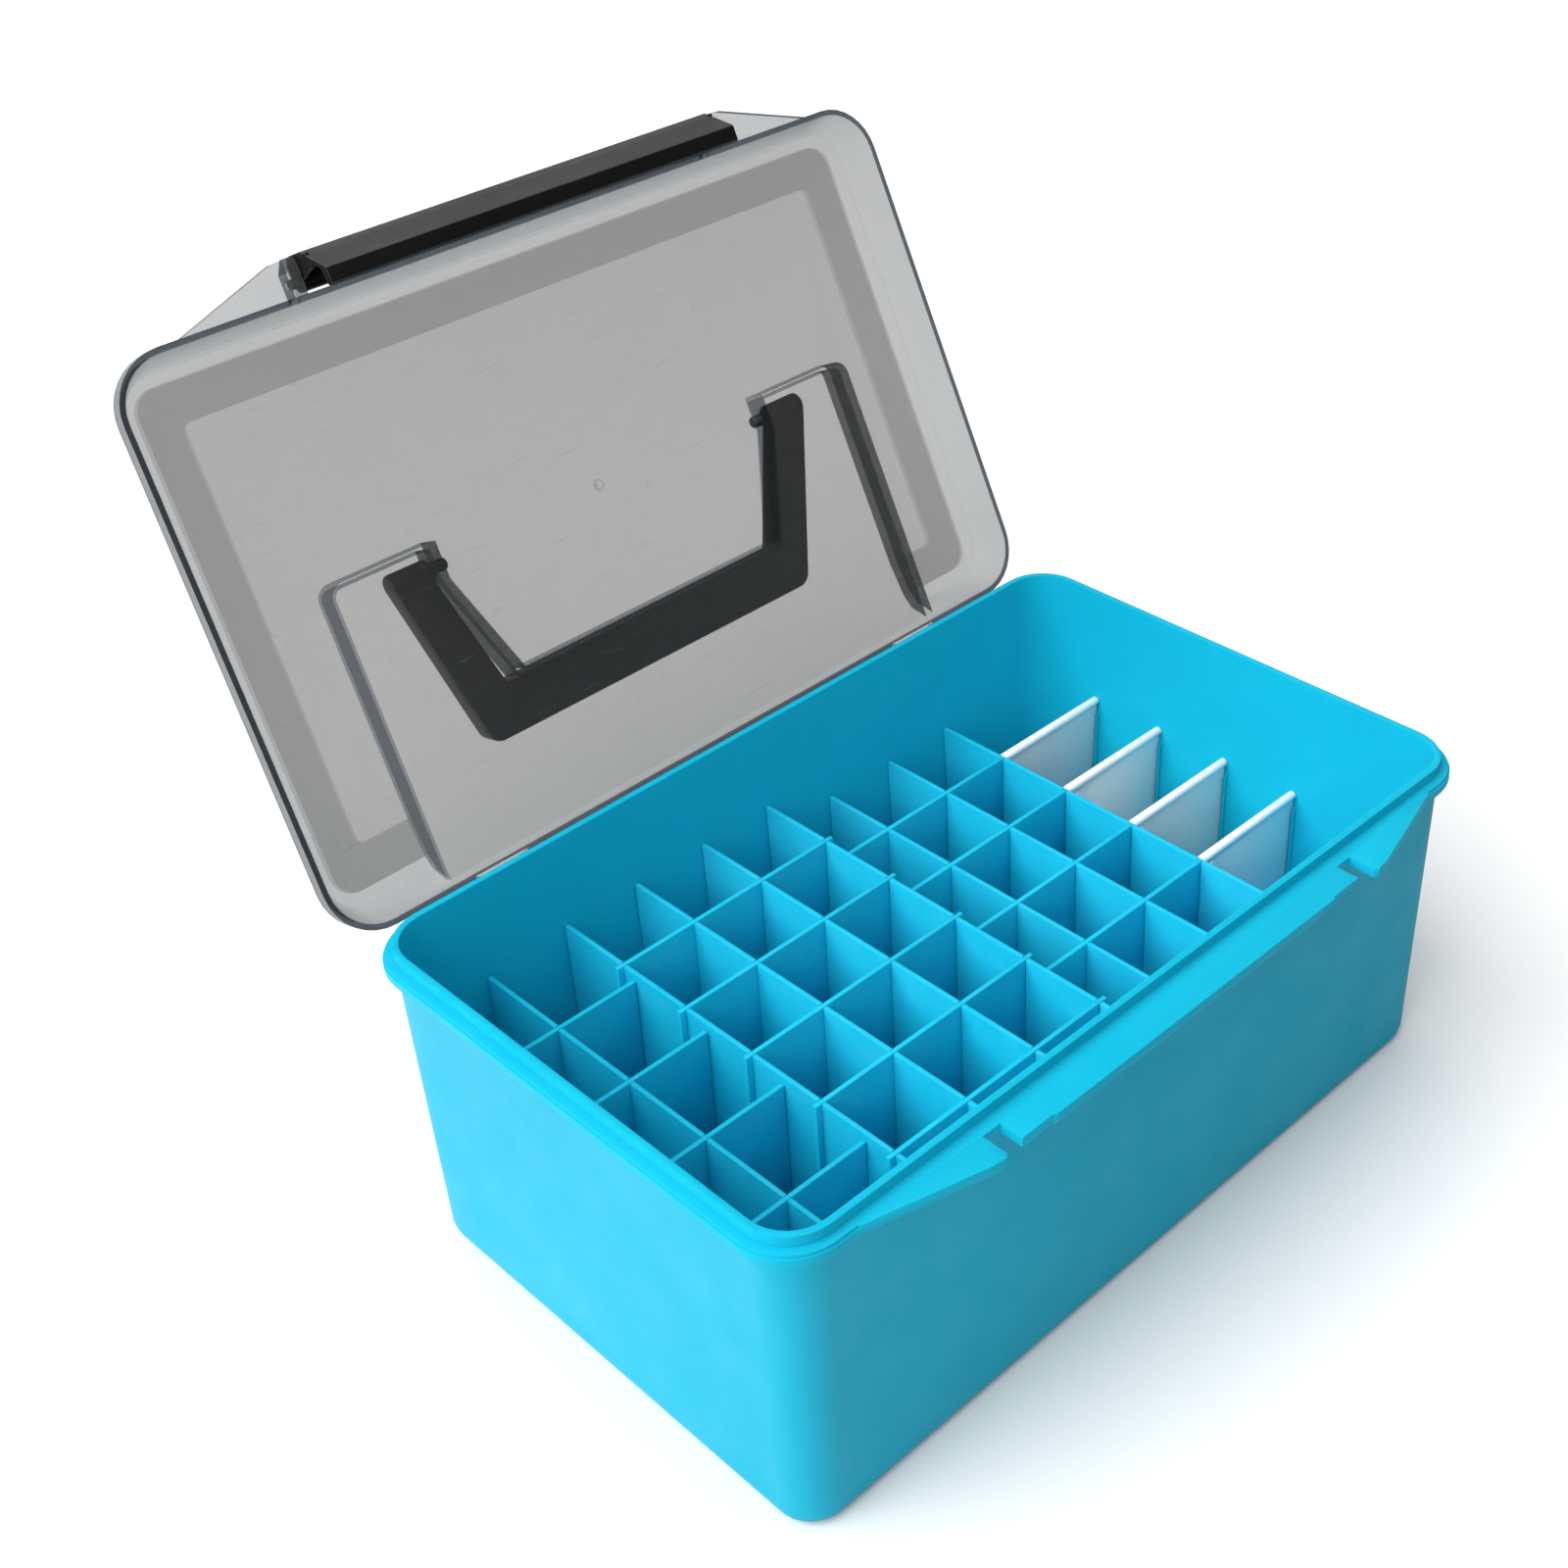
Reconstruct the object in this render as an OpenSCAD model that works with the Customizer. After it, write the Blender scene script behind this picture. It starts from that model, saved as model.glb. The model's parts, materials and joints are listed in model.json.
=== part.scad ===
// Cryogenic storage box: a lidded plastic tub for tubes and vials.
// Loose strips interlock into a tall and a low egg-crate, four white plates
// divide the end bay, and a see-through hinged lid carries a long snap latch
// and a folding handle.
//
// Frame: X runs along the box, -Y is the latch side, +Y the hinge side, +Z up.
// The origin is the middle of the underside. The lid is drawn open, the handle
// hanging a little out of its recess and the latch square to the lid's edge.

/* [Tub] */
// Length over the upright lip
lip_l = 282; // [276:1:290]
// Width over the upright lip
lip_w = 172; // [166:1:180]
// Height from the table to the top of the lip
tub_h = 111; // [105:1:118]
// Thickness of walls and floor
wall = 2; // [1.6:0.1:2.4]
// How far each wall leans in on its way down to the floor
draft = 3.2; // [2:0.1:4]
// Corner radius of the lip seen from above
corner_r = 15; // [12:0.5:18]
// How far the bead under the lip stands out
bead_out = 3; // [2.4:0.1:3.6]
// How far the front ledge reaches out from the lip
ledge_out = 13.4; // [12.8:0.1:14.2]

/* [Lid] */
// Height of the lid above the bead it rests on
lid_h = 17; // [16:0.5:18]
// Lid thickness
lid_t = 1.8; // [1.5:0.1:2.1]
// How far the lid stands open from closed, in degrees
open_angle = 115; // [100:1:120]
// Half the distance between the two side walls of the handle recess
recess_half = 102; // [98:1:106]
// Width of the shallow slope round the lid's middle panel
panel_slope = 12.6; // [10:0.2:16]

/* [Dividers] */
// Thickness of the strips
strip_t = 1.5; // [1.2:0.1:1.8]
// Top of the tall strips above the table
tall_top = 80; // [74:1:86]
// Top of the low strips above the table
low_top = 69.5; // [64:0.5:72]
// Pitch of the cross strips
cross_pitch = 27.6; // [27:0.1:28]
// Pitch of the long strips in the middle and low sections
long_pitch = 28.3; // [27:0.1:28.6]
// Pitch of the long strips in the left section
left_pitch = 32.2; // [31:0.1:33]

/* [Handle] */
// Thickness of the handle bail
handle_t = 7.6; // [7:0.1:7.9]
// Diameter of the pins the handle turns on
handle_pin_d = 4; // [3.4:0.1:4.2]
// How far the handle hangs out of its recess, in degrees
handle_out = 9; // [0:1:20]

/* [Latch] */
// Length of the latch bar
latch_l = 153.6; // [150:0.2:154]
// Diameter of the pins the latch turns on
latch_pin_d = 3; // [2.4:0.1:3.2]

/* [Hidden] */
eps = 0.01;
blue = [0.10, 0.68, 0.86];
pale_blue = [0.22, 0.74, 0.90];
smoke = [0.62, 0.64, 0.65, 0.45];
black = [0.07, 0.07, 0.08];
white = [0.93, 0.95, 0.97];

// clearances
run_gap = 0.06; // radial, pin in hole
side_gap = 0.3; // between parts that pass or rest near each other
seat_gap = 0.1; // between the closed lid and the bead it rests on

// rim levels
lip_rise = 3.5; // the lip stands this far above the bead and ledge
rim_z = tub_h - lip_rise; // top of bead and ledge, where the lid rests
bead_t = 4.5;
ledge_t = 3.2;
foot_r = 5; // rounding between wall and underside

// front ledge, as half lengths from the middle
ledge_end = 120; // where its taper starts at the bead
ledge_tip = 84; // where the taper reaches full depth
ledge_tab = 78; // inner end of the outer tabs
ledge_mid = 71.5; // outer end of the middle part
ledge_step = 59; // middle part stands out a little more inside this
ledge_mid_out = 11.6; // reach of the middle part's ends
ledge_step_out = 12.3; // reach of the middle part inside the step

// hinge
axis_y = lip_w / 2 + 4.6;
axis_z = rim_z - 5.6;
rod_r = 1.8;
clip_r = 3.3; // outside of the lid's clips
hinge_in = 75; // hinge ears, inner and outer faces, from the middle
hinge_out = 101;
ear_t = 3;
ear_r = 3.6;
notch_y = lip_w / 2 + 0.6; // the bead is cut back to here behind the clips

// lid, in the closed position
lid_l = lip_l + 4.8;
lid_w = lip_w + 4.8;
lid_top = rim_z + lid_h;
skirt_z = rim_z + 5.5; // top of the upright skirt
floor_z = rim_z + 7.3; // floor of the handle recess
shoulder = 5.2; // the skirt leans in by this much on its way to the shoulder
border = 9.8; // from the rim to the foot of the shallow slope
recess_y = -6.3; // front wall of the handle recess
recess_r = 3; // corners of the recess

// outside and hollow of the lid, as [inset from the rim, height, corner radius]
lid_outside = [
    [0, rim_z + seat_gap, corner_r + 2.4],
    [0.4, skirt_z, corner_r + 2],
    [shoulder, lid_top - 3.5, 12],
    [border, lid_top - 1.5, 8],
    [border + panel_slope, lid_top, 3]
];
// the hollow keeps the lid's thickness square to each slope
lid_inside = [
    [lid_t, rim_z - 1, corner_r + 2.4 - lid_t],
    [0.1 + lid_t, skirt_z - 0.5 * lid_t, corner_r + 2.3 - lid_t],
    [shoulder + 0.69 * lid_t, lid_top - 3.5 - 0.79 * lid_t, 10.5],
    [border + 0.26 * lid_t, lid_top - 1.5 - 0.98 * lid_t, 7],
    [border + panel_slope, lid_top - lid_t, 2.5]
];

// handle, in its own plane with y running from the pins to the grip
pivot_z = floor_z + 0.4 + handle_t / 2;
grip_y = [42.4, 59]; // inner and outer edge of the grip
arm_in = [69, 56]; // inner edge of the arms, at the pivot and at the grip
arm_out = [83, 66.4]; // outer edge of the arms
grip_r = 5; // outer corners of the grip
block_y = 40.8; // middle block, front edge
block_gap = 1.2; // between the arms and the middle block
pin_reach = 6.4; // how far the pins stand in from the arms

// latch, closed
latch_y = -lid_w / 2 - 3.8; // pin axis
latch_z = rim_z + 4.5;
plate_y = -lip_w / 2 - ledge_step_out - 0.25; // inner face of the latch's front plate
plate_t = 1.5;
barrel_r = 3.1;
latch_low = rim_z - 15; // bottom of the finger lip
finger_y = [-lip_w / 2 - 8, -lip_w / 2 - 2.1]; // outer and inner edge of the finger lip
hook_t = 2.2;
latch_end_t = 1.2; // walls at the latch's ends
hook_in = -lip_w / 2 - 8.6; // inner edge of the hook
// the hook swings out from under the ledge on an arc just outside the ledge's lower edge
hook_arc = 0.15 + norm([lip_w / 2 + ledge_step_out + latch_y, latch_z - rim_z + ledge_t]);
hook_top = latch_z - sqrt(hook_arc * hook_arc - (hook_in - latch_y) * (hook_in - latch_y));
lug_in = latch_l / 2 + side_gap; // inner face of the lid's lugs
lug_t = 3;

// inside of the tub at a height
function in_x(z) = lip_l / 2 - wall - draft * (1 - z / tub_h);
function in_y(z) = lip_w / 2 - wall - draft * (1 - z / tub_h);

// dividers
slot_w = strip_t + side_gap;
foot_z = wall + 0.2; // underside of the strips
toe = 5; // strips are cut at 45 degrees to clear the rounded floor edge
stub = 2; // strip ends beyond the last crossing
left_bay = 29.3; // from the first cross strip to the second
left_top = tall_top - 2.3; // the left section stands a little lower than the middle one
cross_2 = -77.5;
cross_x = [cross_2 - left_bay, for (i = [0:6]) cross_2 + i * cross_pitch];
left_y = [for (i = [0:3]) 1.5 + (1.5 - i) * left_pitch];
long_y = [for (i = [0:4]) -1 + (2 - i) * long_pitch];

// white plates
plate_top = low_top + 0.5;
plate_x0 = cross_x[7] + strip_t / 2 + side_gap;
plate_y_pos = [for (i = [0:3]) long_y[i] + 0.5];
plate_thin = 1.2;
rib_h = 1.2; // guide ribs on the tub's end wall
rib_top = low_top - 5;

// A block with rounded upright corners whose plan grows from (l0, w0, r0) at z0
// to (l1, w1, r1) at z1, with an optional rounding of radius foot round its lower edge
module taper_block(l0, w0, r0, z0, l1, w1, r1, z1, foot = 0) {
    hull() {
        for (sx = [-1, 1], sy = [-1, 1]) {
            translate([sx * (l0 / 2 - r0), sy * (w0 / 2 - r0), z0])
                for (a = foot > 0 ? [0:30:90] : [0])
                    translate([0, 0, foot * (1 - sin(a))])
                        cylinder(r = r0 - foot * (1 - cos(a)), h = eps, $fn = 32);
            translate([sx * (l1 / 2 - r1), sy * (w1 / 2 - r1), z1 - eps])
                cylinder(r = r1, h = eps, $fn = 32);
        }
    }
}

// Outside of the tub: leaning walls and a rounded edge round the underside
module tub_block() {
    taper_block(lip_l - 2 * draft, lip_w - 2 * draft, corner_r - draft, 0,
        lip_l, lip_w, corner_r, tub_h, foot_r);
}

// Hollow of the tub, running out through its top
module tub_hollow() {
    taper_block(2 * in_x(wall), 2 * in_y(wall), corner_r - wall - draft, wall,
        2 * in_x(tub_h), 2 * in_y(tub_h), corner_r - wall, tub_h + 2 * eps, foot_r - wall);
}

// Flat plate with rounded corners
module round_plate(l, w, r, z0, z1) {
    translate([0, 0, z0])
        linear_extrude(z1 - z0)
            union() {
                square([l - 2 * r, w], center = true);
                square([l, w - 2 * r], center = true);
                for (sx = [-1, 1], sy = [-1, 1])
                    translate([sx * (l / 2 - r), sy * (w / 2 - r)])
                        circle(r = r, $fn = 48);
            }
}

// One half of the front ledge, drawn on +X
module ledge_half() {
    y0 = -lip_w / 2 + 1;
    lip_y = -lip_w / 2;
    polygon([
        [0, y0],
        [0, lip_y - ledge_step_out],
        [ledge_step, lip_y - ledge_step_out],
        [ledge_step + 1, lip_y - ledge_mid_out],
        [ledge_mid, lip_y - ledge_mid_out],
        [ledge_mid, lip_y - bead_out - 1],
        [ledge_tab, lip_y - bead_out - 1],
        [ledge_tab, lip_y - ledge_out + 1.2],
        [ledge_tab + 1.2, lip_y - ledge_out],
        [ledge_tip, lip_y - ledge_out + 0.6],
        [ledge_end, lip_y - bead_out],
        [ledge_end, y0]
    ]);
}

module hinge_side() {
    // two ears with a rod between them, moulded on the back of the tub
    ear_y = lip_w / 2 - 1;
    for (x = [hinge_in, hinge_out - ear_t]) {
        translate([x, axis_y, axis_z])
            rotate([0, 90, 0])
                cylinder(r = ear_r - 0.2, h = ear_t, $fn = 40);
        translate([x, ear_y, axis_z - ear_r + 0.2])
            cube([ear_t, axis_y - ear_y, 2 * (ear_r - 0.2)]);
    }
    translate([hinge_in + ear_t - 0.5, axis_y, axis_z])
        rotate([0, 90, 0])
            cylinder(r = rod_r, h = hinge_out - hinge_in - 2 * ear_t + 1, $fn = 40);
}

// Pairs of guide ribs on the end wall, one pair for each white plate
module guide_ribs() {
    rib_w = 1;
    for (i = [0:3], s = [-1, 1])
        translate([0, plate_y_pos[i] + s * (plate_thin / 2 + side_gap + rib_w / 2), 0])
            rotate([90, 0, 0])
                translate([0, 0, -rib_w / 2])
                    linear_extrude(rib_w)
                        polygon([
                            [in_x(wall) - rib_h, wall / 2],
                            [in_x(wall) + 1, wall / 2],
                            [in_x(rib_top) + 1, rib_top],
                            [in_x(rib_top), rib_top],
                            [in_x(rib_top - 2) - rib_h, rib_top - 2]
                        ]);
}

module tub() {
    color(blue) {
        difference() {
            union() {
                tub_block();
                difference() {
                    union() {
                        round_plate(lip_l + 2 * bead_out - 1, lip_w + 2 * bead_out - 1,
                            corner_r + bead_out - 0.5, rim_z - bead_t, rim_z);
                        round_plate(lip_l + 2 * bead_out, lip_w + 2 * bead_out,
                            corner_r + bead_out, rim_z - bead_t + 1, rim_z - 1);
                    }
                    // room for the lid's clips, and for the latch hook under the ledge
                    for (s = [-1, 1])
                        translate([s * (hinge_in + hinge_out) / 2, notch_y + 10, rim_z - 2])
                            cube([hinge_out - hinge_in - 2 * ear_t, 20, 20], center = true);
                    translate([0, -lip_w / 2 - 10 - bead_out + 0.5, rim_z - ledge_t - 10])
                        cube([2 * ledge_mid, 20, 20], center = true);
                }
                translate([0, 0, rim_z - ledge_t])
                    linear_extrude(ledge_t) {
                        ledge_half();
                        mirror([1, 0]) ledge_half();
                    }
                hinge_side();
                mirror([1, 0, 0]) hinge_side();
            }
            tub_hollow();
        }
        guide_ribs();
    }
}

// Plan of the raised middle block that fills the handle, grown by g
module block_plan(g) {
    half_0 = arm_in[0] - block_gap + g;
    half_1 = arm_in[1] - block_gap + g;
    polygon([
        [-half_0, -40],
        [half_0, -40],
        [half_0, 4],
        [half_1, block_y + g],
        [-half_1, block_y + g],
        [-half_0, 4]
    ]);
}

// The recess the handle folds into, grown by g, as a tall solid
module recess_solid(g, z0) {
    translate([0, 0, z0])
        linear_extrude(40)
            difference() {
                offset(r = recess_r + g, $fn = 32)
                    translate([-recess_half + recess_r, recess_y + recess_r])
                        square([2 * (recess_half - recess_r), lid_w]);
                block_plan(-g);
            }
}

// Solid through rings with rounded corners, each [inset from the rim, height, corner radius]
module lid_form(rings) {
    hull()
        for (ring = rings, sx = [-1, 1], sy = [-1, 1])
            translate([
                sx * (lid_l / 2 - ring[0] - ring[2]),
                sy * (lid_w / 2 - ring[0] - ring[2]),
                ring[1] - eps
            ])
                cylinder(r = ring[2], h = eps, $fn = 32);
}

module lid_lug() {
    // wall at the end of the front flange that holds the latch pin
    out_y = -lip_w / 2 - ledge_out - 0.4;
    difference() {
        translate([lug_in, 0, 0])
            rotate([90, 0, 90])
                linear_extrude(lug_t)
                    polygon([
                        [1 - lid_w / 2, rim_z + seat_gap],
                        [out_y + 0.8, rim_z + seat_gap],
                        [out_y, rim_z + 1],
                        [out_y, latch_z - 1],
                        [latch_y - 3.6, latch_z + 3.4],
                        [3 - lid_w / 2, latch_z + 3.8]
                    ]);
        translate([lug_in - 1, latch_y, latch_z])
            rotate([0, 90, 0])
                cylinder(r = latch_pin_d / 2 + run_gap, h = lug_t + 2, $fn = 40);
    }
}

module lid_flange() {
    // the trapezoid wing that lies on the tub's ledge
    out_y = -lip_w / 2 - ledge_out - 0.4;
    translate([0, 0, rim_z + seat_gap])
        linear_extrude(2.4)
            polygon([
                [lug_in, -lid_w / 2 + 1],
                [lug_in, out_y + 1],
                [lug_in + 1, out_y],
                [ledge_tip + 1, out_y + 0.4],
                [ledge_end - 1, -lid_w / 2 + 0.2],
                [ledge_end - 1, -lid_w / 2 + 1]
            ]);
}

module hinge_clip() {
    // ring that snaps over the rod, joined to the lid's back edge
    inset = ear_t + side_gap;
    x0 = hinge_in + inset;
    len = hinge_out - hinge_in - 2 * inset;
    difference() {
        union() {
            translate([x0, axis_y, axis_z])
                rotate([0, 90, 0])
                    cylinder(r = clip_r, h = len, $fn = 48);
            translate([x0, lid_w / 2 - 1, axis_z + 1.6])
                cube([len, axis_y + 1.6 - lid_w / 2 + 1, rim_z + 2.5 - axis_z - 1.6]);
        }
        translate([x0 - 1, axis_y, axis_z])
            rotate([0, 90, 0])
                cylinder(r = rod_r + run_gap, h = len + 2, $fn = 40);
        translate([x0 - 1, axis_y - rod_r * 0.8, axis_z - 10])
            cube([len + 2, 2 * rod_r * 0.8, 10]);
    }
}

// The lid as it lies closed on the tub
module lid_closed() {
    difference() {
        union() {
            difference() {
                lid_form(lid_outside);
                recess_solid(0, floor_z);
            }
            for (m = [0, 1])
                mirror([m, 0, 0]) {
                    lid_lug();
                    lid_flange();
                    hinge_clip();
                }
        }
        difference() {
            lid_form(lid_inside);
            recess_solid(lid_t, floor_z - lid_t);
        }
        translate([-arm_in[0], 0, pivot_z])
            rotate([0, 90, 0])
                cylinder(r = handle_pin_d / 2 + run_gap, h = 2 * arm_in[0], $fn = 40);
    }
}

// Turns a closed-position solid to where the open lid carries it
module on_open_lid() {
    translate([0, axis_y, axis_z])
        rotate([-open_angle, 0, 0])
            translate([0, -axis_y, -axis_z])
                children();
}

module lid() {
    color(smoke) on_open_lid() lid_closed();
}

// Side profile of the latch, as [y, z] in the closed position: a top plate, a front
// plate that leans in below the ledge to a finger lip, and a hook under the ledge
module latch_profile() {
    out_y = plate_y - plate_t;
    bend_z = rim_z - 3; // where the front plate starts to lean in
    lean = (finger_y[0] - out_y) / (bend_z - latch_low - 1);
    function lean_y(z) = plate_y + lean * (bend_z - z);
    polygon([
        [latch_y, latch_z + barrel_r],
        [out_y + 2.8, latch_z + barrel_r],
        [out_y + 0.6, latch_z + barrel_r - 1.4],
        [out_y, latch_z + barrel_r - 3.4],
        [out_y, bend_z],
        [finger_y[0], latch_low + 1],
        [finger_y[0] + 0.6, latch_low],
        [finger_y[1] - 0.6, latch_low],
        [finger_y[1], latch_low + 0.8],
        [finger_y[1], latch_low + 1.8],
        [finger_y[1] - 0.6, latch_low + 2.4],
        [lean_y(latch_low + 3.4), latch_low + 3.4],
        [lean_y(hook_top - hook_t), hook_top - hook_t],
        [hook_in - 0.6, hook_top - hook_t],
        [hook_in, hook_top - hook_t + 0.6],
        [hook_in, hook_top],
        [plate_y, hook_top],
        [plate_y, latch_z],
        [latch_y, latch_z]
    ]);
    translate([latch_y, latch_z]) circle(r = barrel_r, $fn = 40);
}

// Wall that closes an end of the latch, as [y, z] in the closed position
module latch_end() {
    polygon([
        [plate_y - plate_t / 2, latch_z + 1],
        [latch_y, latch_z + 1],
        [latch_y, latch_z - barrel_r + 0.5],
        [hook_in, hook_top - hook_t / 2],
        [plate_y - plate_t / 2, hook_top - hook_t / 2]
    ]);
}

module latch_bar() {
    color(black) on_open_lid() {
        translate([-latch_l / 2, 0, 0])
            rotate([90, 0, 90]) {
                linear_extrude(latch_l) latch_profile();
                // the end walls pass through the notches in the ledge
                linear_extrude(latch_end_t) latch_end();
                translate([0, 0, latch_l - latch_end_t])
                    linear_extrude(latch_end_t) latch_end();
            }
        for (s = [-1, 1])
            translate([s * latch_l / 2, latch_y, latch_z])
                rotate([0, s * 90, 0])
                    translate([0, 0, -1])
                        cylinder(d = latch_pin_d, h = lug_t + 0.8, $fn = 40);
    }
}

// Plan of the handle in its own plane, as [x, y]
module handle_plan() {
    difference() {
        offset(r = grip_r, $fn = 32)
            offset(delta = -grip_r)
                polygon([
                    [-arm_out[0], -20], [arm_out[0], -20],
                    [arm_out[0], 1],
                    [arm_out[1], grip_y[1]],
                    [-arm_out[1], grip_y[1]],
                    [-arm_out[0], 1]
                ]);
        polygon([
            [-arm_in[0], -21], [arm_in[0], -21],
            [arm_in[0], 4],
            [arm_in[1], grip_y[0]],
            [-arm_in[1], grip_y[0]],
            [-arm_in[0], 4]
        ]);
    }
}

module handle() {
    half_t = handle_t / 2;
    color(black) on_open_lid()
        translate([0, 0, pivot_z])
            rotate([handle_out, 0, 0]) {
                intersection() {
                    translate([0, 0, -half_t]) linear_extrude(handle_t) handle_plan();
                    union() {
                        rotate([0, 90, 0])
                            cylinder(r = half_t, h = 2 * arm_out[0] + 2, center = true, $fn = 48);
                        translate([-arm_out[0] - 1, 0, -half_t])
                            cube([2 * arm_out[0] + 2, grip_y[1] + 1, handle_t]);
                    }
                }
                for (s = [-1, 1])
                    translate([s * (arm_in[0] + 1), 0, 0])
                        rotate([0, -s * 90, 0])
                            cylinder(d = handle_pin_d, h = pin_reach + 1, $fn = 40);
            }
}

// Strip running across the box, slotted from the top to take the long strips
module cross_strip(x, top, slots) {
    mid = (foot_z + top) / 2;
    half_0 = in_y(foot_z) - side_gap;
    half_1 = in_y(top) - side_gap;
    color(pale_blue)
        translate([x - strip_t / 2, 0, 0])
            rotate([90, 0, 90])
                linear_extrude(strip_t)
                    difference() {
                        polygon([
                            [-half_0 + toe, foot_z], [half_0 - toe, foot_z],
                            [half_0, foot_z + toe], [half_1, top],
                            [-half_1, top], [-half_0, foot_z + toe]
                        ]);
                        for (y = slots)
                            translate([y - slot_w / 2, mid - side_gap / 2])
                                square([slot_w, top]);
                    }
}

// Strip running along the box, slotted from below to drop over the cross strips.
// Its left end follows the tub's end wall when wall_end is true.
module long_strip(y, x0, x1, top, slots, wall_end = false) {
    mid = (foot_z + top) / 2;
    x0_low = wall_end ? -in_x(foot_z) + side_gap : x0;
    x0_top = wall_end ? -in_x(top) + side_gap : x0;
    cut = wall_end ? toe : 0.4;
    color(pale_blue)
        translate([0, y + strip_t / 2, 0])
            rotate([90, 0, 0])
                linear_extrude(strip_t)
                    difference() {
                        polygon([
                            [x0_low + cut, foot_z], [x1 - 0.4, foot_z],
                            [x1, foot_z + 0.4], [x1, top],
                            [x0_top, top], [x0_low, foot_z + cut]
                        ]);
                        for (x = slots)
                            translate([x - slot_w / 2, 0])
                                square([slot_w, mid + side_gap / 2]);
                    }
}

module left_strip(i) {
    long_strip(left_y[i - 1], 0, cross_x[1] - strip_t / 2 - side_gap, left_top,
        [cross_x[0]], wall_end = true);
}

module middle_strip(i) {
    long_strip(long_y[i - 1], cross_x[1] - strip_t / 2 - stub, cross_x[4] + strip_t / 2 + stub,
        tall_top, [for (k = [1:4]) cross_x[k]]);
}

module low_strip(i) {
    long_strip(long_y[i - 1], cross_x[4] + strip_t / 2 + stub + side_gap,
        cross_x[7] + strip_t / 2, low_top, [for (k = [5:7]) cross_x[k]]);
}

// White plate with a thicker bead along its top and a small hole near its inner end
module white_plate(i) {
    bead_d = 3;
    x1_low = in_x(foot_z) - side_gap;
    x1_top = in_x(plate_top) - side_gap;
    color(white)
        translate([0, plate_y_pos[i - 1], 0]) {
            rotate([90, 0, 0])
                translate([0, 0, -plate_thin / 2])
                    linear_extrude(plate_thin)
                        difference() {
                            polygon([
                                [plate_x0, foot_z], [x1_low - toe, foot_z],
                                [x1_low, foot_z + toe], [x1_top, plate_top - 1],
                                [plate_x0, plate_top - 1]
                            ]);
                            translate([plate_x0 + 5, plate_top - 5]) circle(d = 1.8, $fn = 24);
                        }
            translate([plate_x0, 0, plate_top - bead_d / 2])
                rotate([0, 90, 0])
                    cylinder(d = bead_d, h = in_x(plate_top - bead_d) - side_gap - plate_x0, $fn = 32);
        }
}

tub();
lid();
latch_bar();
handle();
cross_strip(cross_x[0], left_top, left_y);  // cross_strip_1
cross_strip(cross_x[1], tall_top, long_y);  // cross_strip_2
cross_strip(cross_x[2], tall_top, long_y);  // cross_strip_3
cross_strip(cross_x[3], tall_top, long_y);  // cross_strip_4
cross_strip(cross_x[4], tall_top, long_y);  // cross_strip_5
cross_strip(cross_x[5], low_top, long_y);  // cross_strip_6
cross_strip(cross_x[6], low_top, long_y);  // cross_strip_7
cross_strip(cross_x[7], low_top, long_y);  // cross_strip_8
left_strip(1);  // left_strip_1
left_strip(2);  // left_strip_2
left_strip(3);  // left_strip_3
left_strip(4);  // left_strip_4
middle_strip(1);  // middle_strip_1
middle_strip(2);  // middle_strip_2
middle_strip(3);  // middle_strip_3
middle_strip(4);  // middle_strip_4
middle_strip(5);  // middle_strip_5
low_strip(1);  // low_strip_1
low_strip(2);  // low_strip_2
low_strip(3);  // low_strip_3
low_strip(4);  // low_strip_4
low_strip(5);  // low_strip_5
white_plate(1);  // white_plate_1
white_plate(2);  // white_plate_2
white_plate(3);  // white_plate_3
white_plate(4);  // white_plate_4
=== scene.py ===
"""Looks for the cryogenic storage box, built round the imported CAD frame."""

import json
import math

import bmesh
import bpy
from mathutils import Matrix, Vector


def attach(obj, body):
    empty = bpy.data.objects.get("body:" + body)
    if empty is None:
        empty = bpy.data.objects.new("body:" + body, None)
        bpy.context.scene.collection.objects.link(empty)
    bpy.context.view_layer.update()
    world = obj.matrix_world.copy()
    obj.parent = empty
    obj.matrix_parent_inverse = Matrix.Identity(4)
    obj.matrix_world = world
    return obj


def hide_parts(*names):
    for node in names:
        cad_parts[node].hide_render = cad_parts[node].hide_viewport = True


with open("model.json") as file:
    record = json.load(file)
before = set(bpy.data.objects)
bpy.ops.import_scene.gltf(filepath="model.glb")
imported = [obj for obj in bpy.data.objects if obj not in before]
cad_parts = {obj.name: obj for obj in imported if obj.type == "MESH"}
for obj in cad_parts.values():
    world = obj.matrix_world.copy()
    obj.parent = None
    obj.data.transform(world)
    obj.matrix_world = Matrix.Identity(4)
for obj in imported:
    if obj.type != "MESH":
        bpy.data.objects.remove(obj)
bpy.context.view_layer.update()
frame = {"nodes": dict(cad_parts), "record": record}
MM = 0.001


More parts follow.
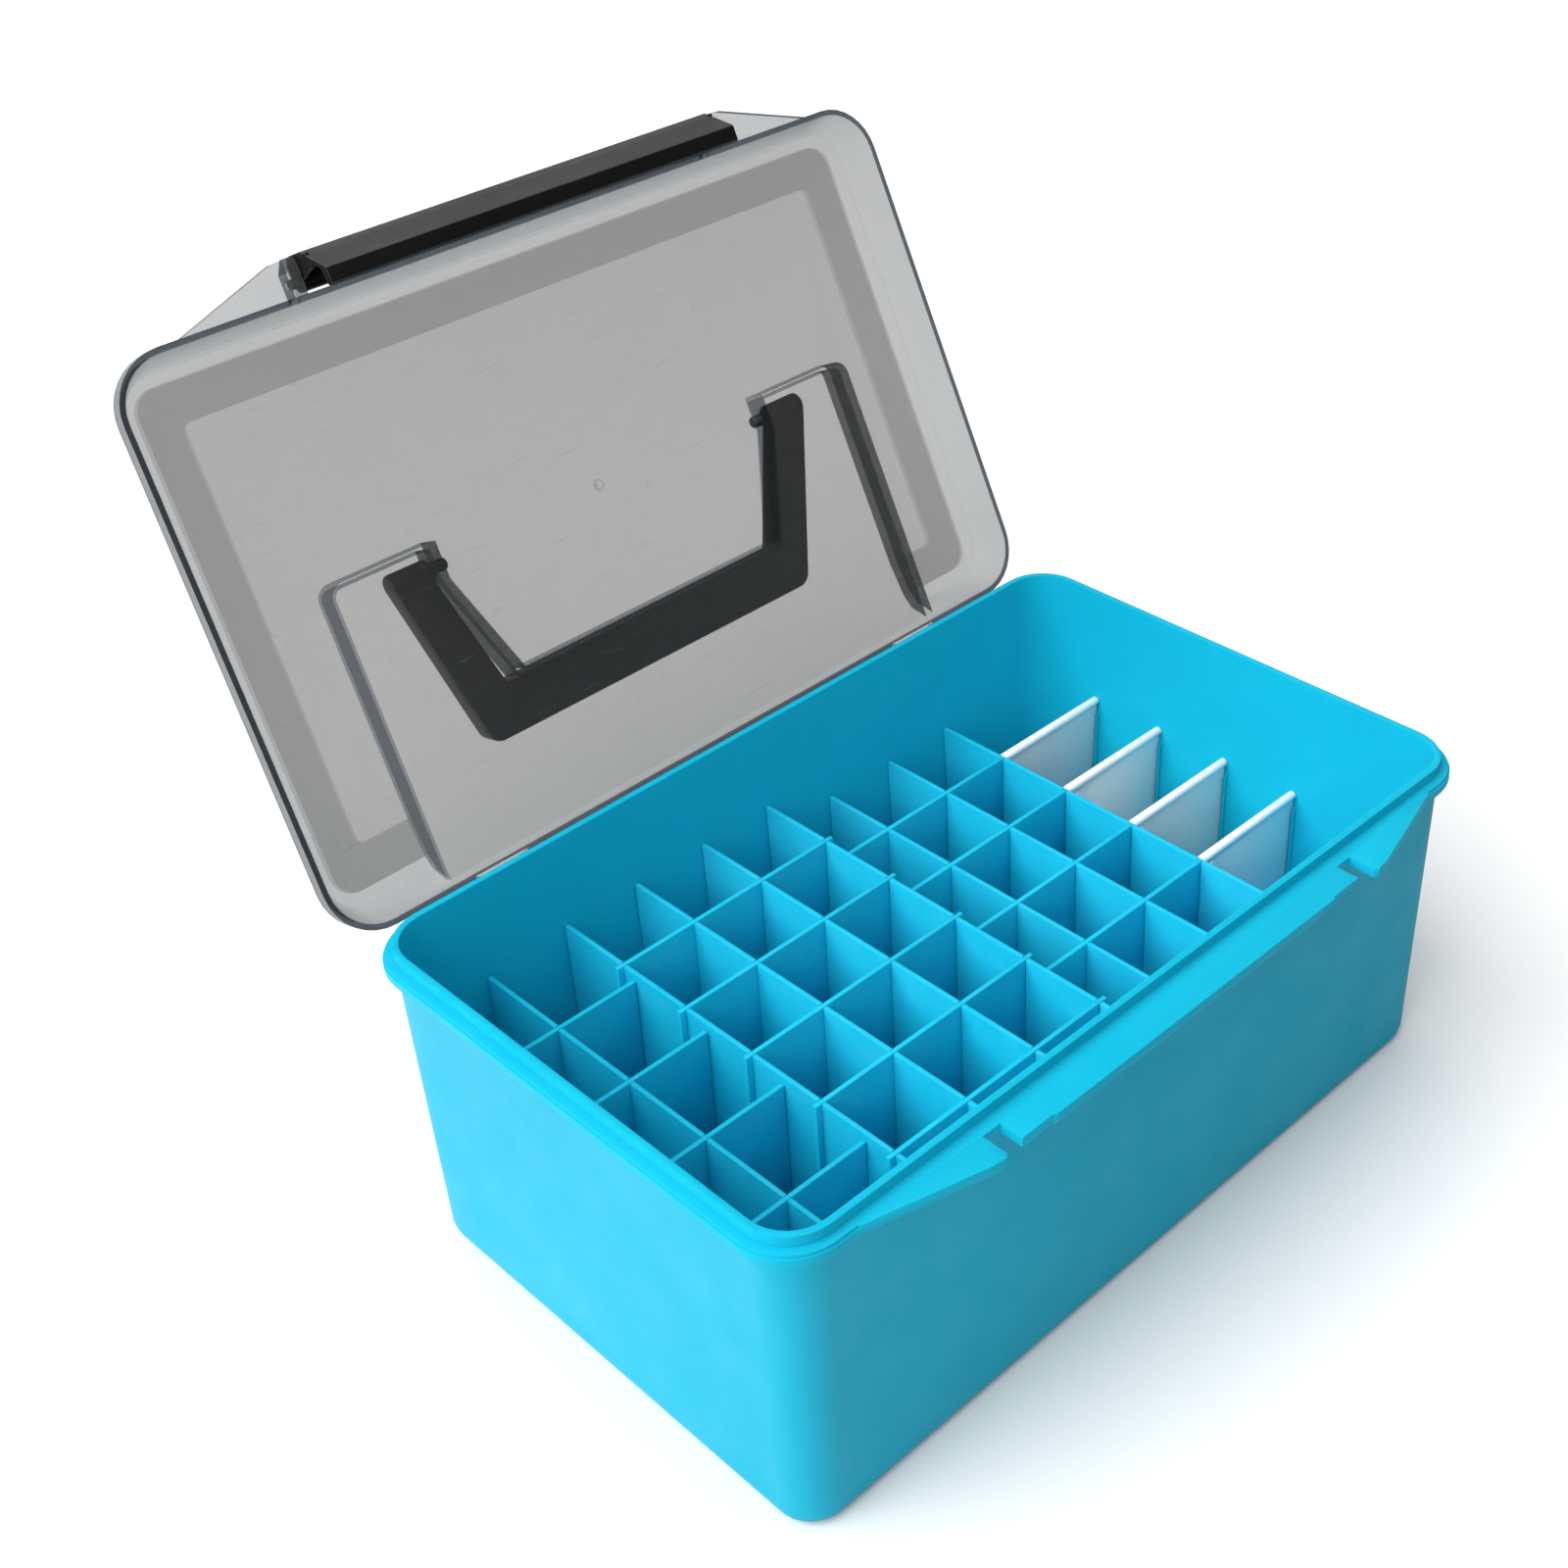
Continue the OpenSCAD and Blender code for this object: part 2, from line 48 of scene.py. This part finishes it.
# ---------------------------------------------------------------- node helpers
class Nodes:
    """A small builder for one node tree."""

    def __init__(self, tree):
        self.tree = tree

    def feed(self, socket, value):
        """Links the socket to another node's socket, or sets it to a plain value."""
        if isinstance(value, bpy.types.NodeSocket):
            self.tree.links.new(value, socket)
        else:
            socket.default_value = value

    def add(self, kind, inputs=None, **settings):
        node = self.tree.nodes.new(kind)
        for key, value in settings.items():
            setattr(node, key, value)
        for key, value in (inputs or {}).items():
            self.feed(node.inputs[key], value)
        return node

    def maths(self, operation, a, b, clamp=False):
        node = self.add("ShaderNodeMath", {0: a, 1: b}, operation=operation, use_clamp=clamp)
        return node.outputs[0]

    def times(self, a, b):
        return self.maths("MULTIPLY", a, b)

    def span(self, value, low, high, to_low=0.0, to_high=1.0):
        """value taken from low..high to to_low..to_high, held at both ends."""
        node = self.add("ShaderNodeMapRange", {"Value": value, "From Min": low, "From Max": high,
                                               "To Min": to_low, "To Max": to_high})
        return node.outputs["Result"]

    def noise(self, vector, scale, detail=3.0, roughness=0.5):
        node = self.add("ShaderNodeTexNoise", {"Vector": vector, "Scale": scale, "Detail": detail,
                                               "Roughness": roughness})
        return node.outputs["Fac"]

    def stretched(self, coords, x, y, z):
        return self.add("ShaderNodeMapping", {"Vector": coords, "Scale": (x, y, z)}).outputs["Vector"]

    def parts(self, vector):
        """The X, Y and Z outputs of a vector."""
        return self.add("ShaderNodeSeparateXYZ", {0: vector}).outputs

    def coordinates(self, kind="Object"):
        return self.add("ShaderNodeTexCoord").outputs[kind]

    def seen_directly(self):
        """1 for rays that come straight from the camera, 0 for light that is bounced."""
        return self.add("ShaderNodeLightPath").outputs["Is Camera Ray"]

    def mix(self, factor, a, b):
        """Colour a taken towards colour b."""
        node = self.add("ShaderNodeMix", data_type="RGBA")
        sockets = {s.identifier: s for s in (*node.inputs, *node.outputs)}
        self.feed(sockets["Factor_Float"], factor)
        self.feed(sockets["A_Color"], a)
        self.feed(sockets["B_Color"], b)
        return sockets["Result_Color"]


def material(name, shader_of):
    """A new material whose surface is the shader socket that shader_of(nodes) gives."""
    mat = bpy.data.materials.new(name)
    mat.use_nodes = True
    mat.node_tree.nodes.clear()
    n = Nodes(mat.node_tree)
    n.add("ShaderNodeOutputMaterial", {"Surface": shader_of(n)})
    return mat


def scaled(colour, factor):
    return (*(factor * c for c in colour[:3]), 1.0)


# ---------------------------------------------------------------- materials
# Noise scales: features per metre
DRIFT_SCALE, BLOTCH_SCALE, GRAIN_SCALE = 9.0, 45.0, 1400.0
HAIRLINE_SCALE, RUB_SCALE, WAVE_SCALE = 90.0, 160.0, 30.0
LID_DRIFT_SCALE, LID_HAIRLINE_SCALE, LID_WAVE_SCALE = 12.0, 70.0, 38.0

# Heights in metres: rubbed edges lie below the first and above the second of a pair
FOOT, TUB_RIM, STRIP_TOP, PLATE_TOP = 0.004, 0.107, 0.068, 0.066
NO_RUBBED_EDGES = {"edge_low": -1.0, "edge_high": 9.0}
RUBBED_BAND = 0.003

# Depth of the bump in metres, and how much each kind of relief gives to it
GRAIN_DEPTH, LID_DEPTH = 0.00003, 0.0002
GRAIN_RELIEF, HAIRLINE_RELIEF, WAVE_RELIEF = 0.5, -0.35, 1.6
LID_HAIRLINE_RELIEF, MARK_RELIEF = -0.2, 1.5

# Radii of the ring-shaped moulding mark: outer edge, its inner side, inner edge, its inner side
MARK_RADII = (0.0022, 0.0018, 0.0015, 0.0011)

PLAIN_SHEEN = (1.0, 1.0, 1.0, 1.0)
PLASTIC_IOR, LID_IOR = 1.49, 1.5
LID_GLOSS, GLOSS_SPREAD = 0.16, 0.04


def hairlines(n, coords, scale, share):
    """A mask of fine, short scratches in two directions; share is how much of the surface they cover."""
    one = n.noise(n.stretched(coords, 1.0, 14.0, 14.0), scale, 2.0)
    two = n.noise(n.stretched(coords, 12.0, 1.3, 6.0), scale, 2.0)
    start = 0.62 + 0.1 * (1 - share)
    end = start + 0.05
    return n.maths("MAXIMUM", n.span(one, start, end), n.span(two, start, end))


def plastic(name, colour, pale, roughness=0.38, wear=0.5, edge_low=FOOT, edge_high=TUB_RIM,
            glow=0.0, shine=0.3, sheen=PLAIN_SHEEN):
    """Moulded plastic: soft colour drift, fine moulded grain, hairline scratches and rubbed edges.
    glow is the share of light that passes under the surface; sheen tints the shine."""

    def shader(n):
        coords = n.coordinates()
        height = n.parts(coords)["Z"]
        drift = n.noise(coords, DRIFT_SCALE, 4.0, 0.6)
        blotch = n.noise(coords, BLOTCH_SCALE)
        grain = n.noise(coords, GRAIN_SCALE, 2.0, 0.6)
        lines = hairlines(n, coords, HAIRLINE_SCALE, 0.3)
        edges = n.maths("MAXIMUM", n.span(height, edge_low, 0.0),
                        n.span(height, edge_high, edge_high + RUBBED_BAND))
        broken = n.span(n.noise(coords, RUB_SCALE, 4.0, 0.7), 0.45, 0.7)
        rubbed = n.maths("MULTIPLY", edges, broken, clamp=True)

        base = n.mix(n.span(drift, 0.3, 0.7, 0.0, 0.35), colour, pale)
        base = n.mix(n.span(blotch, 0.35, 0.65, 0.0, 0.12), base, scaled(colour, 0.82))
        base = n.mix(n.times(rubbed, 0.45 * wear), base, pale)
        base = n.mix(n.times(lines, 0.16 * wear), base, pale)

        rough = n.span(blotch, 0.3, 0.7, roughness - 0.05, roughness + 0.06)
        rough = n.maths("ADD", rough, n.times(lines, 0.14 * wear))
        rough = n.maths("ADD", rough, n.times(rubbed, 0.2 * wear), clamp=True)

        relief = n.maths("ADD", n.times(grain, GRAIN_RELIEF), n.times(lines, HAIRLINE_RELIEF * wear))
        relief = n.maths("ADD", relief, n.times(n.noise(coords, WAVE_SCALE, 2.0), WAVE_RELIEF))
        bump = n.add("ShaderNodeBump", {"Height": relief, "Strength": 0.35, "Distance": GRAIN_DEPTH})
        body = n.add("ShaderNodeBsdfPrincipled", {
            "Base Color": base, "Roughness": rough, "Normal": bump.outputs["Normal"],
            "IOR": PLASTIC_IOR, "Specular IOR Level": shine, "Specular Tint": sheen,
            "Subsurface Weight": glow, "Subsurface Radius": (0.3, 1.0, 1.2), "Subsurface Scale": 0.003})
        return body.outputs["BSDF"]

    return material(name, shader)


def smoke(name, film, grazing, haze=0.06, tone=(0.42, 0.42, 0.41, 1.0), shine=0.5, mark=None):
    """See-through smoky plastic: a tinted film that darkens at grazing angles, a little haze, a soft shine.
    tone is the haze's colour, set darker or paler per kind of face as painted shade and light; mark is
    where the small moulding mark sits, if this part has one."""

    def shader(n):
        coords = n.coordinates()
        drift = n.noise(coords, LID_DRIFT_SCALE, 3.0, 0.6)
        lines = hairlines(n, coords, LID_HAIRLINE_SCALE, 0.4)
        facing = n.add("ShaderNodeLayerWeight", {"Blend": 0.5}).outputs["Facing"]

        tint = n.mix(n.span(n.maths("POWER", facing, 3.0), 0.0, 1.0, 0.0, 0.85), film, grazing)
        tint = n.mix(n.span(drift, 0.35, 0.65, 0.0, 0.08), tint, scaled(film, 0.85))
        relief = n.maths("ADD", n.noise(coords, LID_WAVE_SCALE, 2.0), n.times(lines, LID_HAIRLINE_RELIEF))
        if mark:
            reach = n.add("ShaderNodeVectorMath", {0: coords, 1: mark}, operation="DISTANCE")
            disc, hole = (n.span(reach.outputs["Value"], start, end)
                          for start, end in (MARK_RADII[:2], MARK_RADII[2:]))
            ring = n.maths("SUBTRACT", disc, hole, clamp=True)
            # Painted shade: the mark's ring is tinted towards the grazing colour as the dark line its edges
            # show; its relief also goes into the bump
            tint = n.mix(n.times(ring, 0.3), tint, grazing)
            relief = n.maths("ADD", relief, n.times(ring, MARK_RELIEF))

        clear = n.add("ShaderNodeBsdfTransparent", {"Color": tint})
        bump = n.add("ShaderNodeBump", {"Height": relief, "Strength": 0.25, "Distance": LID_DEPTH})
        gloss = n.span(drift, 0.3, 0.7, LID_GLOSS - GLOSS_SPREAD, LID_GLOSS + GLOSS_SPREAD)
        body = n.add("ShaderNodeBsdfPrincipled", {
            "Base Color": tone, "Roughness": n.maths("ADD", gloss, n.times(lines, 0.2)),
            "Normal": bump.outputs["Normal"], "IOR": LID_IOR, "Specular IOR Level": shine})
        milk = n.span(lines, 0.0, 1.0, haze, haze + 0.07)
        solid = n.maths("ADD", n.times(n.maths("POWER", facing, 4.0), 0.35), milk, clamp=True)
        return n.add("ShaderNodeMixShader", {0: solid, 1: clear.outputs[0], 2: body.outputs[0]}).outputs[0]

    return material(name, shader)


hinge = next(j for j in frame["record"]["behaviour"]["joints"] if j["name"] == "lid_hinge")
hinge_at = Vector(hinge["pos_m"])
closing = Matrix.Rotation(math.radians(hinge["range_deg"][0]), 3, Vector(hinge["axis"]))
mark_when_closed = Vector((0.0004, -0.0018, 0.1227))
mark_at = hinge_at + closing.inverted() @ (mark_when_closed - hinge_at)

BLUE = (0.006, 0.42, 0.61, 1.0)
PALE_BLUE = (0.015, 0.53, 0.74, 1.0)
SHEET_BLUE = (0.006, 0.50, 0.72, 1.0)
PALE_SHEET_BLUE = (0.05, 0.62, 0.86, 1.0)
BLUE_SHEEN = (0.2, 0.75, 1.0, 1.0)
GRAZE = (0.22, 0.25, 0.28, 1.0)

tub_blue = plastic("tub_blue_plastic", BLUE, PALE_BLUE, glow=0.12, shine=0.1, sheen=BLUE_SHEEN)
strip_blue = plastic("strip_blue_plastic", SHEET_BLUE, PALE_SHEET_BLUE, roughness=0.42,
                     edge_high=STRIP_TOP, glow=0.15, sheen=BLUE_SHEEN)
black = plastic("black_plastic", (0.010, 0.0145, 0.020, 1.0), (0.07, 0.07, 0.075, 1.0),
                roughness=0.40, wear=0.6, **NO_RUBBED_EDGES)
# The latch's black plastic comes in two copies: a lighter one as painted light for most faces, and a darker
# one with less shine as painted shade for the finger lip's underside and the end walls
lit_latch_black = plastic("latch_painted_light_plastic", (0.024, 0.024, 0.026, 1.0), (0.08, 0.08, 0.085, 1.0),
                     roughness=0.44, wear=0.6, **NO_RUBBED_EDGES)
shaded_latch_black = plastic("latch_painted_shade_plastic", (0.004, 0.004, 0.004, 1.0), (0.012, 0.012, 0.013, 1.0),
                     roughness=0.5, wear=0.4, shine=0.1, **NO_RUBBED_EDGES)
white = plastic("white_plastic", (0.97, 0.96, 0.95, 1.0), (0.98, 0.98, 0.98, 1.0),
                roughness=0.34, wear=0.3, edge_high=PLATE_TOP, glow=0.5)

# Painted shade and light on the lid: its one smoky plastic gets its own film, grazing tint and haze colour
# per kind of face. The slopes, the recess walls and most of all the edges are painted darker, standing in
# for light lost through more plastic; the border and the tabs are painted paler as painted light.
lid_smoke = smoke("smoky_clear_plastic", (0.61, 0.61, 0.607, 1.0), GRAZE, mark=mark_at)
lid_slope_shade = smoke("smoky_slope_painted_shade", (0.51, 0.51, 0.51, 1.0), GRAZE)
lid_border_light = smoke("smoky_border_painted_light", (0.69, 0.693, 0.695, 1.0), GRAZE, haze=0.09)
lid_wall_shade = smoke("smoky_wall_painted_shade", (0.33, 0.345, 0.36, 1.0), (0.08, 0.095, 0.11, 1.0), shine=0.2,
                 tone=(0.2, 0.21, 0.22, 1.0))
lid_edge_shade = smoke("smoky_edge_painted_shade", (0.15, 0.175, 0.20, 1.0), (0.04, 0.05, 0.06, 1.0), haze=0.12, shine=0.15,
                 tone=(0.08, 0.095, 0.105, 1.0))
lid_tab_light = smoke("smoky_tab_painted_light", (0.73, 0.735, 0.74, 1.0), (0.30, 0.33, 0.36, 1.0), haze=0.12,
                tone=(0.50, 0.51, 0.51, 1.0))


# ---------------------------------------------------------------- pieces from the frame
MERGE_GAP = 1e-6
FLAT_WITHIN, ROUNDED_OVER, SMOOTH_BELOW = (math.radians(a) for a in (1.0, 32.0, 40.0))


def edge_angle(edge):
    """The angle between an edge's two faces, or None where it doesn't have two."""
    return edge.calc_face_angle(0.0) if len(edge.link_faces) == 2 else None


def refined(node, name, body, main, width, segments=2, others=(), pick=None):
    """A clean copy of a CAD node: flat faces merged, sharp edges rounded by width in millimetres,
    smooth shading across shallow angles. pick(face) gives the index of a face's material, 0 being
    the main one; rounded edges take the last of the others."""
    bm = bmesh.new()
    bm.from_mesh(frame["nodes"][node].data)
    bmesh.ops.remove_doubles(bm, verts=bm.verts, dist=MERGE_GAP)
    bmesh.ops.dissolve_limit(bm, angle_limit=FLAT_WITHIN, verts=bm.verts, edges=bm.edges)
    if pick:
        for face in bm.faces:
            face.material_index = pick(face)
    sharp = [e for e in bm.edges if (edge_angle(e) or 0.0) > ROUNDED_OVER]
    bmesh.ops.bevel(bm, geom=sharp, offset=width * MM, segments=segments, profile=0.5, affect="EDGES",
                    clamp_overlap=True, material=len(others) if others else -1)
    bmesh.ops.recalc_face_normals(bm, faces=bm.faces)
    for face in bm.faces:
        face.smooth = True
    for edge in bm.edges:
        angle = edge_angle(edge)
        edge.smooth = angle is not None and angle < SMOOTH_BELOW
    mesh = bpy.data.meshes.new(name)
    bm.to_mesh(mesh)
    bm.free()
    piece = bpy.data.objects.new(name, mesh)
    bpy.context.scene.collection.objects.link(piece)
    for each in (main, *others):
        mesh.materials.append(each)
    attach(piece, body)
    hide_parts(node)


# Indices of the lid's materials, each painting the shade or light of its kind of face; the flat panels have
# 0
SLOPE, BORDER, WALL, TAB, EDGE = 1, 2, 3, 4, 5

# Limits of the closed lid's parts, in metres: lugs and wings lie before the first, clips behind the second
SKIRT_FRONT, SKIRT_BACK = -0.0895, 0.0890
LUG_INNER_X = 0.082
SKIRT_FOOT_TOP = 0.1077
# Steep faces above, within and behind these are the walls of the handle's recess
RECESS_Z, RECESS_X, RECESS_Y = 0.1129, 0.106, -0.012

# How far a face's unit normal points along an axis
FLAT, SLOPING, ALONG, STEEP = 0.9985, 0.97, 0.7, 0.3


def as_closed(face):
    """Where a lid or latch face sits and which way it points when the lid lies closed."""
    return hinge_at + closing @ (face.calc_center_median() - hinge_at), closing @ face.normal


def lid_part(face):
    """Which kind of lid surface a face belongs to, which sets the painted shade or light of its film."""
    place, facing = as_closed(face)
    if not SKIRT_FRONT <= place.y <= SKIRT_BACK:
        if abs(facing.z) > ALONG:
            return TAB
        return WALL if abs(facing.x) > ALONG and abs(place.x) < LUG_INNER_X else EDGE
    if place.z < SKIRT_FOOT_TOP and facing.z < -ALONG:
        return EDGE
    if abs(facing.z) > FLAT:
        return 0
    in_recess = place.z > RECESS_Z and abs(place.x) < RECESS_X and place.y > RECESS_Y
    if in_recess and abs(facing.z) < STEEP:
        return WALL
    return SLOPE if abs(facing.z) > SLOPING else BORDER


def latch_part(face):
    """Painted shade: the underside of the finger lip and the end walls take the darker copy of the latch's
    plastic, darker than the rest of the latch, which takes the lighter copy as painted light.
    """
    facing = as_closed(face)[1]
    return 1 if facing.z < -ALONG or abs(facing.x) > ALONG else 0


refined("tub", "tub_shell", "tub", tub_blue, width=0.35)
refined("lid", "lid_shell", "lid", lid_smoke, width=0.4,
        others=(lid_slope_shade, lid_border_light, lid_wall_shade, lid_tab_light, lid_edge_shade), pick=lid_part)
refined("latch_bar", "latch_body", "latch", lit_latch_black, width=0.25,
        others=(shaded_latch_black, lit_latch_black), pick=latch_part)
refined("handle", "handle_bail", "handle", black, width=0.8, segments=3)
for body, nodes in frame["record"]["behaviour"]["bodies"].items():
    for node in nodes:
        if "strip" in node:
            refined(node, node + "_sheet", body, strip_blue, width=0.2)
        elif "plate" in node:
            refined(node, node + "_panel", body, white, width=0.15)


# ---------------------------------------------------------------- floor
# The floor as the camera sees it, and what it throws back on the far side and on the key light's side
FLOOR_SEEN = (0.93, 0.93, 0.93, 1.0)
DIM_BOUNCE, FULL_BOUNCE = (0.38, 0.38, 0.38, 1.0), (0.9, 0.9, 0.9, 1.0)
BOUNCE_REACH = 0.4
FLOOR_REACH = 12.0


def floor_shader(n):
    across = n.parts(n.coordinates())
    side = n.maths("SUBTRACT", across["Y"], across["X"])
    bounce = n.mix(n.span(side, -BOUNCE_REACH, BOUNCE_REACH), DIM_BOUNCE, FULL_BOUNCE)
    tone = n.mix(n.seen_directly(), bounce, FLOOR_SEEN)
    return n.add("ShaderNodeBsdfPrincipled", {"Base Color": tone, "Roughness": 0.7}).outputs["BSDF"]


corners = [(x * FLOOR_REACH, y * FLOOR_REACH, 0) for x, y in ((-1, -1), (1, -1), (1, 1), (-1, 1))]
floor_mesh = bpy.data.meshes.new("floor")
floor_mesh.from_pydata(corners, [], [(0, 1, 2, 3)])
floor_mesh.update()
floor_mesh.materials.append(material("floor", floor_shader))
floor = bpy.data.objects.new("floor", floor_mesh)
bpy.context.scene.collection.objects.link(floor)

# ---------------------------------------------------------------- light
# Strength of the surroundings towards each side, and as the camera sees them
KEY_SIDE, FAR_SIDE, FRONT_SIDE, BACK_SIDE = 1.0, 0.45, 0.55, 1.0
WORLD_SEEN = 1.05


def studio_world():
    """Pale surroundings, brighter on the side of the key light; seen directly they are evenly pale."""
    world = bpy.data.worlds.new("studio")
    bpy.context.scene.world = world
    world.use_nodes = True
    n = Nodes(world.node_tree)
    along = n.parts(n.coordinates("Generated"))
    level = n.times(n.span(along["X"], -1.0, 1.0, KEY_SIDE, FAR_SIDE),
                    n.span(along["Y"], -1.0, 1.0, FRONT_SIDE, BACK_SIDE))
    strength = n.add("ShaderNodeMix", {"Factor": n.seen_directly(), "A": level, "B": WORLD_SEEN})
    surroundings = world.node_tree.nodes["Background"]
    n.feed(surroundings.inputs["Strength"], strength.outputs["Result"])
    n.feed(surroundings.inputs["Color"], (1.0, 1.0, 1.0, 1.0))


def softbox(name, place, aim, size, power):
    light = bpy.data.lights.new(name, "AREA")
    light.shape = "RECTANGLE"
    light.size, light.size_y = size
    light.energy = power
    lamp = bpy.data.objects.new(name, light)
    lamp.location = place
    lamp.rotation_euler = (Vector(aim) - Vector(place)).to_track_quat("-Z", "Y").to_euler()
    bpy.context.scene.collection.objects.link(lamp)
    return lamp


def key_sun(energy, width, towards):
    """A wide, soft sun; towards points from the object to the sun and width is its angle in degrees."""
    sun = bpy.data.lights.new("key", "SUN")
    sun.energy, sun.angle = energy, math.radians(width)
    key = bpy.data.objects.new("key", sun)
    key.rotation_euler = Vector(towards).to_track_quat("Z", "Y").to_euler()
    bpy.context.scene.collection.objects.link(key)


studio_world()
softbox("top", (0.0, 0.05, 1.6), (0.0, 0.0, 0.1), (1.0, 1.0), 5.5)
softbox("low", (-0.9, 0.0, 0.05), (0.0, 0.0, 0.05), (0.7, 0.08), 0.8).visible_camera = False
key_sun(2.8, 60, (-1.0, 0.15, 1.0))

# ---------------------------------------------------------------- camera
# Place, azimuth, elevation and roll in the frame; lens and shift for a square picture
CAMERA_AT = (-0.38198, -0.37855, 0.51256)
azimuth, elevation, roll = (math.radians(a) for a in (-42.945, 31.265, -2.737))
SENSOR, LENS = 36.0, 52.24
SHIFT_X, SHIFT_Y = -0.0446, -0.1016

back = Vector((math.sin(azimuth) * math.cos(elevation), -math.cos(azimuth) * math.cos(elevation),
               math.sin(elevation)))
right = Vector((0, 0, 1)).cross(back).normalized()
up = back.cross(right)
turned_right = right * math.cos(roll) + up * math.sin(roll)
turned_up = up * math.cos(roll) - right * math.sin(roll)
turn = Matrix((turned_right, turned_up, back)).transposed().to_4x4()

camera_data = bpy.data.cameras.new("camera")
camera_data.sensor_width, camera_data.lens = SENSOR, LENS
camera_data.shift_x, camera_data.shift_y = SHIFT_X, SHIFT_Y
camera_data.clip_start, camera_data.clip_end = 0.01, 20.0
camera = bpy.data.objects.new("camera", camera_data)
camera.matrix_world = Matrix.Translation(CAMERA_AT) @ turn
bpy.context.scene.collection.objects.link(camera)
bpy.context.scene.camera = camera
bpy.context.scene.view_settings.view_transform = "Standard"
bpy.context.scene.cycles.transparent_max_bounces = 32
